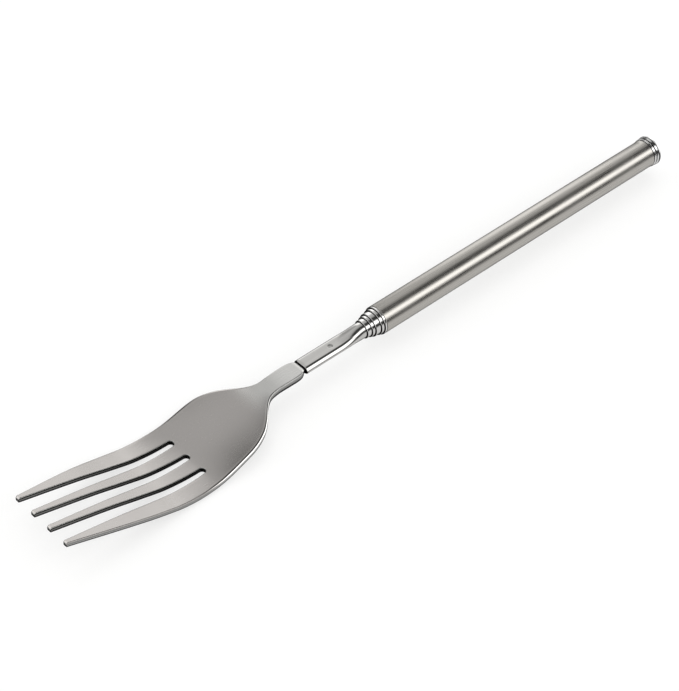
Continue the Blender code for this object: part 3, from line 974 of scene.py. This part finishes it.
def turned_cap():
    """Polished beads, and a satin end face with fine turning rings."""
    material, nodes, shader, place, base, rough = metal("polished_cap_steel", CAP_STEEL)
    x, y, z = nodes.separate(place)
    height = nodes.math("SUBTRACT", z, AXIS_Z * MM)
    squares = nodes.math("ADD", nodes.math("MULTIPLY", y, y), nodes.math("MULTIPLY", height, height))
    radius = nodes.add("ShaderNodeCombineXYZ")
    nodes.link(nodes.math("SQRT", squares), radius.inputs[0])
    rings = nodes.noise(radius.outputs[0], CAP_RING_SCALE, EVEN)
    face = nodes.fade(x, *reach_points(CAP_END_X, CAP_FACE_START))
    tone = nodes.mix_colour(rings, *CAP_RING_TONES)
    nodes.link(nodes.mix_colour(face, base, tone), shader.inputs["Base Color"])
    satin = nodes.math("MULTIPLY", face, nodes.swing(rings, *CAP_SATIN))
    nodes.link(nodes.math("ADD", rough, satin), shader.inputs["Roughness"])
    return material


def painted_wall_shade(nodes, height, stops):
    """Painted shade and painted reflection bands up a wall, as grey tones."""
    node = nodes.add("ShaderNodeValToRGB")
    nodes.link(height, node.inputs[0])
    ramp = node.color_ramp
    for position, level in stops[1:-1]:
        ramp.elements.new(position).color = (level, level, level * WALL_SHADE_WARMTH, 1.0)
    for element, level in ((ramp.elements[0], stops[0][1]), (ramp.elements[-1], stops[-1][1])):
        element.color = (level, level, level * WALL_SHADE_WARMTH, 1.0)
    return node.outputs["Color"]


def satin_head():
    """Fine satin on the faces, bright worn edges, painted shade on the walls, near black inside the slots,
    with painted reflection bands up them; the tang is painted near black.
    """
    material, nodes, shader, place, base, rough = metal("satin_head_steel", HEAD_STEEL, with_painted_shade=False)
    x = nodes.separate(place)["X"]
    wear, side, slot, height, painted_tang_shade = [nodes.attribute(name) for name in HEAD_MARKS]
    neck = nodes.fade(x, *reach_points(NECK_MOUTH_X, HEAD_NECK_REACH))
    base = nodes.mix_colour(neck, base, HEAD_NECK_COLOUR)
    base = nodes.mix_colour(nodes.remap(wear, EDGE_WEAR, 1.0, 0.0, FACET_SHARE), base, FACET_COLOUR)
    # Painted shade and painted reflection bands up the walls, darkest inside the slots
    sides = nodes.mix_colour(neck, painted_wall_shade(nodes, height, SIDE_WALL_SHADE), painted_wall_shade(nodes, height, NECK_WALL_SHADE))
    base = nodes.mix_colour(side, base, sides)
    towards_tips = nodes.remap(x, *reach_points(NECK_MOUTH_X, TINE_REACH), 0.0, 1.0)
    slots, tines = painted_wall_shade(nodes, height, SLOT_WALL_SHADE), painted_wall_shade(nodes, height, TINE_WALL_SHADE)
    base = nodes.mix_colour(slot, base, nodes.mix_colour(towards_tips, slots, tines))
    nodes.link(nodes.mix_colour(slot, WHITE, SLOT_SPECULAR), shader.inputs["Specular Tint"])
    # The tang is painted near black as shade inside the neck tube's mouth.
    nodes.link(nodes.mix_colour(painted_tang_shade, base, TANG_SHADE_COLOUR), shader.inputs["Base Color"])
    rough = nodes.math("SUBTRACT", rough, nodes.remap(wear, 0.0, EDGE_WEAR, 0.0, EDGE_GLOSS))
    rough = nodes.math("ADD", rough, nodes.math("MULTIPLY", slot, SLOT_ROUGHNESS))
    nodes.link(rough, shader.inputs["Roughness"])
    return material


def build_materials():
    return {
        "handle": satin_handle(),
        "head": satin_head(),
        "neck": metal("satin_neck_steel", NECK_STEEL)[0],
        "sleeve": metal("polished_sleeve_steel", SLEEVE_STEEL)[0],
        "cap": turned_cap(),
        "shim": metal("brass_shim_strip", SHIM_BRASS, with_painted_shade=False)[0],
    }


# ================================================================ studio
def grey(level):
    return (level, level, level)


def tent_ramp(nodes, angle, stops):
    """Brightness of the tent against the angle, which runs from 0 to 1 for a whole turn."""
    node = nodes.add("ShaderNodeValToRGB")
    nodes.link(angle, node.inputs[0])
    ramp = node.color_ramp
    ramp.interpolation = "EASE"
    for degrees, level in stops[1:-1]:
        ramp.elements.new((degrees + 180.0) / 360.0).color = (*grey(level), 1.0)
    for element, level in ((ramp.elements[0], stops[0][1]), (ramp.elements[-1], stops[-1][1])):
        element.color = (*grey(level), 1.0)
    return node.outputs["Color"]


def light_tent():
    """Soft panels with dark gaps between them, which the metal reflects."""
    world = bpy.data.worlds.new("light_tent")
    bpy.context.scene.world = world
    world.use_nodes = True
    nodes = Nodes(world.node_tree)
    x, y, z = nodes.separate(nodes.add("ShaderNodeTexCoord").outputs["Generated"])
    angle = nodes.math("ARCTAN2", z, nodes.math("MULTIPLY", y, -1.0))
    turn = nodes.remap(angle, -math.pi, math.pi, 0.0, 1.0)
    light = tent_ramp(nodes, turn, sorted(TENT_FRONT + TENT_BACK[0]))
    for blend, back in zip(TENT_BLENDS, TENT_BACK[1:]):
        further = tent_ramp(nodes, turn, sorted(TENT_FRONT + back))
        light = nodes.mix_colour(nodes.fade(x, *blend), light, further)
    light = nodes.mix_colour(nodes.fade(x, *END_PANEL_BLEND), light, grey(END_PANEL))
    light = nodes.mix_colour(nodes.fade(x, *TIP_PANEL_BLEND), light, grey(TIP_PANEL))
    lengthwise, downwards = UNDER_TIP_BLENDS
    under_tips = nodes.math("MULTIPLY", nodes.fade(x, *lengthwise), nodes.fade(z, *downwards))
    light = nodes.mix_colour(under_tips, light, grey(UNDER_TIP))
    mirrored = nodes.remap(nodes.math("ARCTAN2", z, y), -math.pi, math.pi, 0.0, 1.0)
    far = tent_ramp(nodes, mirrored, sorted(TENT_FRONT + TENT_BACK[2]))
    light = nodes.mix_colour(nodes.fade(x, *FAR_BLEND), light, far)
    background = world.node_tree.nodes["Background"]
    nodes.link(light, background.inputs["Color"])
    background.inputs["Strength"].default_value = TENT_PEAK


def stage_object(name, verts, faces, material):
    mesh = bpy.data.meshes.new(name)
    mesh.from_pydata([[part * MM for part in vert] for vert in verts], [], faces)
    mesh.materials.append(material)
    obj = bpy.data.objects.new(name, mesh)
    bpy.context.scene.collection.objects.link(obj)
    return obj


def ring_points(radius, z):
    angles = [math.tau * i / STAGE_SIDES for i in range(STAGE_SIDES)]
    return [(radius * math.cos(angle), radius * math.sin(angle), z) for angle in angles]


def build_stage():
    floor_paint = bpy.data.materials.new("floor_paper")
    floor_paint.use_nodes = True
    paper = floor_paint.node_tree.nodes["Principled BSDF"]
    paper.inputs["Base Color"].default_value = FLOOR_COLOUR
    paper.inputs["Emission Color"].default_value = FLOOR_GLOW_COLOUR
    paper.inputs["Emission Strength"].default_value = FLOOR_GLOW
    paper.inputs["Roughness"].default_value = FLOOR_ROUGHNESS
    paper.inputs["Specular IOR Level"].default_value = FLOOR_SPECULAR
    disc = tuple(range(STAGE_SIDES))
    floor = stage_object("studio_floor", ring_points(FLOOR_RADIUS, 0.0), [disc], floor_paint)
    floor.visible_glossy = False

    glow = bpy.data.materials.new("backdrop_paper")
    glow.use_nodes = True
    tree = glow.node_tree
    tree.nodes.clear()
    emission = tree.nodes.new("ShaderNodeEmission")
    emission.inputs["Color"].default_value = (*grey(BACKDROP_LEVEL), 1.0)
    output = tree.nodes.new("ShaderNodeOutputMaterial")
    tree.links.new(emission.outputs[0], output.inputs[0])
    verts = ring_points(BACKDROP_RADIUS, BACKDROP_FOOT) + ring_points(BACKDROP_RADIUS, BACKDROP_TOP)
    faces = [disc]
    for i in range(STAGE_SIDES):
        nearby = (i + 1) % STAGE_SIDES
        faces.append((i, nearby, STAGE_SIDES + nearby, STAGE_SIDES + i))
    backdrop = stage_object("studio_backdrop", verts, faces, glow)
    backdrop.visible_glossy = False
    backdrop.visible_diffuse = False
    backdrop.visible_shadow = False
    backdrop.visible_transmission = False

    fill_data = bpy.data.lights.new("floor_fill", "AREA")
    fill_data.shape = "DISK"
    fill_data.size = FILL_SIZE_M
    fill_data.energy = FILL_POWER
    fill = bpy.data.objects.new("floor_fill", fill_data)
    fill.location = (0.0, 0.0, FILL_HEIGHT_M)
    fill.visible_glossy = False
    fill.visible_camera = False
    bpy.context.scene.collection.objects.link(fill)


def place_camera():
    azimuth, elevation = CAMERA_AZIMUTH, CAMERA_ELEVATION
    level = math.cos(elevation)
    back = Vector((math.sin(azimuth) * level, -math.cos(azimuth) * level, math.sin(elevation)))
    data = bpy.data.cameras.new("camera")
    data.lens = CAMERA_LENS
    data.sensor_width = CAMERA_SENSOR
    data.clip_start, data.clip_end = CAMERA_CLIP_M
    data.dof.use_dof = False
    camera = bpy.data.objects.new("camera", data)
    camera.rotation_mode = "QUATERNION"
    camera.location = (Vector(CAMERA_TARGET) + back * CAMERA_DISTANCE) * MM
    camera.rotation_quaternion = (-back).to_track_quat("-Z", "Y")
    bpy.context.scene.collection.objects.link(camera)
    bpy.context.scene.camera = camera


# ================================================================ put together
def place(piece, body, node, slot):
    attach(piece, body)
    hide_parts(node)


def build_fork():
    looks = build_materials()
    place(build_handle_tube(looks["handle"]), "handle", "handle_tube", "satin_tube")
    place(build_end_cap(looks["cap"]), "handle", "end_cap", "polished_cap")
    for index in range(1, SECTIONS):
        piece = build_section_tube(index, looks["sleeve"])
        place(piece, f"section_{index}", f"section_{index}_tube", "polished_tube")
    place(build_neck_tube(looks["neck"]), "neck", "neck_tube", "satin_neck")
    place(build_fork_head(looks["head"]), "neck", "fork_head", "satin_blade")
    for name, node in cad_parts.items():
        if "_shim_" in name:
            node.data.materials.clear()
            node.data.materials.append(looks["shim"])


set_colour_handling()
light_tent()
build_stage()
place_camera()
build_fork()
